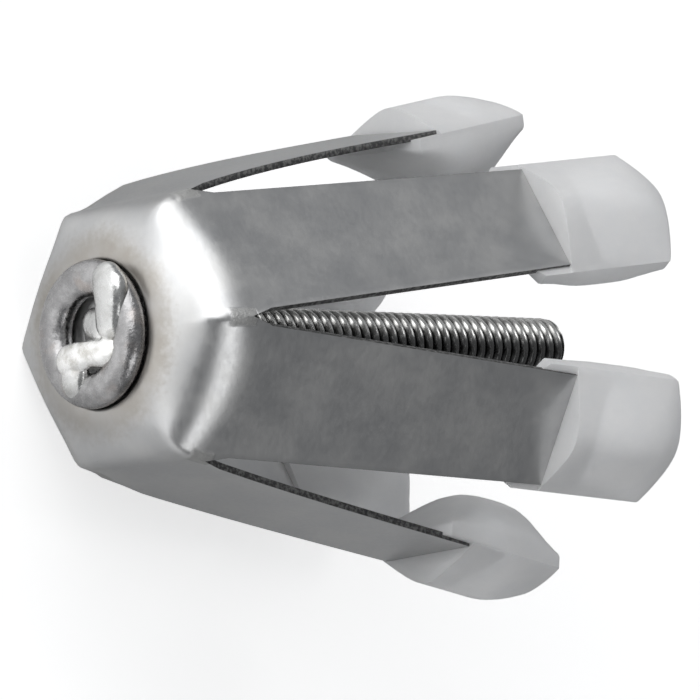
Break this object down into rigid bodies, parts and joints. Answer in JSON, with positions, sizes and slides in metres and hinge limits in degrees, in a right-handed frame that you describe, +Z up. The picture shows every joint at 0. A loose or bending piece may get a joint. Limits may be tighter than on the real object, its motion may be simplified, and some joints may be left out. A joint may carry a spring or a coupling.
{
  "type": "six-legged hollow wall anchor",
  "caption": "Sprung steel claw with six splayed legs in translucent plastic tips, pressed from one sheet and tack-welded to a threaded rod through its hub.",
  "frame": {"origin": "middle of the footprint on the level surface that the anchor lies on", "axes": "+X from the hub towards the leg tips and the rod's free end, seen from above; +Z up, through the gap between the two upper legs; +Y to the side"},
  "size_m": [0.0654, 0.0538, 0.0487],
  "materials": {
    "claw_steel": "satin, pressed sheet",
    "rod_steel": "bright zinc-plated thread",
    "ring_steel": "satin, slightly blued by the weld",
    "weld_steel": "bright, as solidified",
    "tip_plastic": "frosted, translucent"
  },
  "bodies": {
    "root": {"claw": "claw_steel", "threaded_rod": "rod_steel", "end_ring": "ring_steel", "weld_tacks": "weld_steel", "tip_1": "tip_plastic", "tip_2": "tip_plastic", "tip_3": "tip_plastic", "tip_4": "tip_plastic", "tip_5": "tip_plastic", "tip_6": "tip_plastic"}
  },
  "joints": []
}
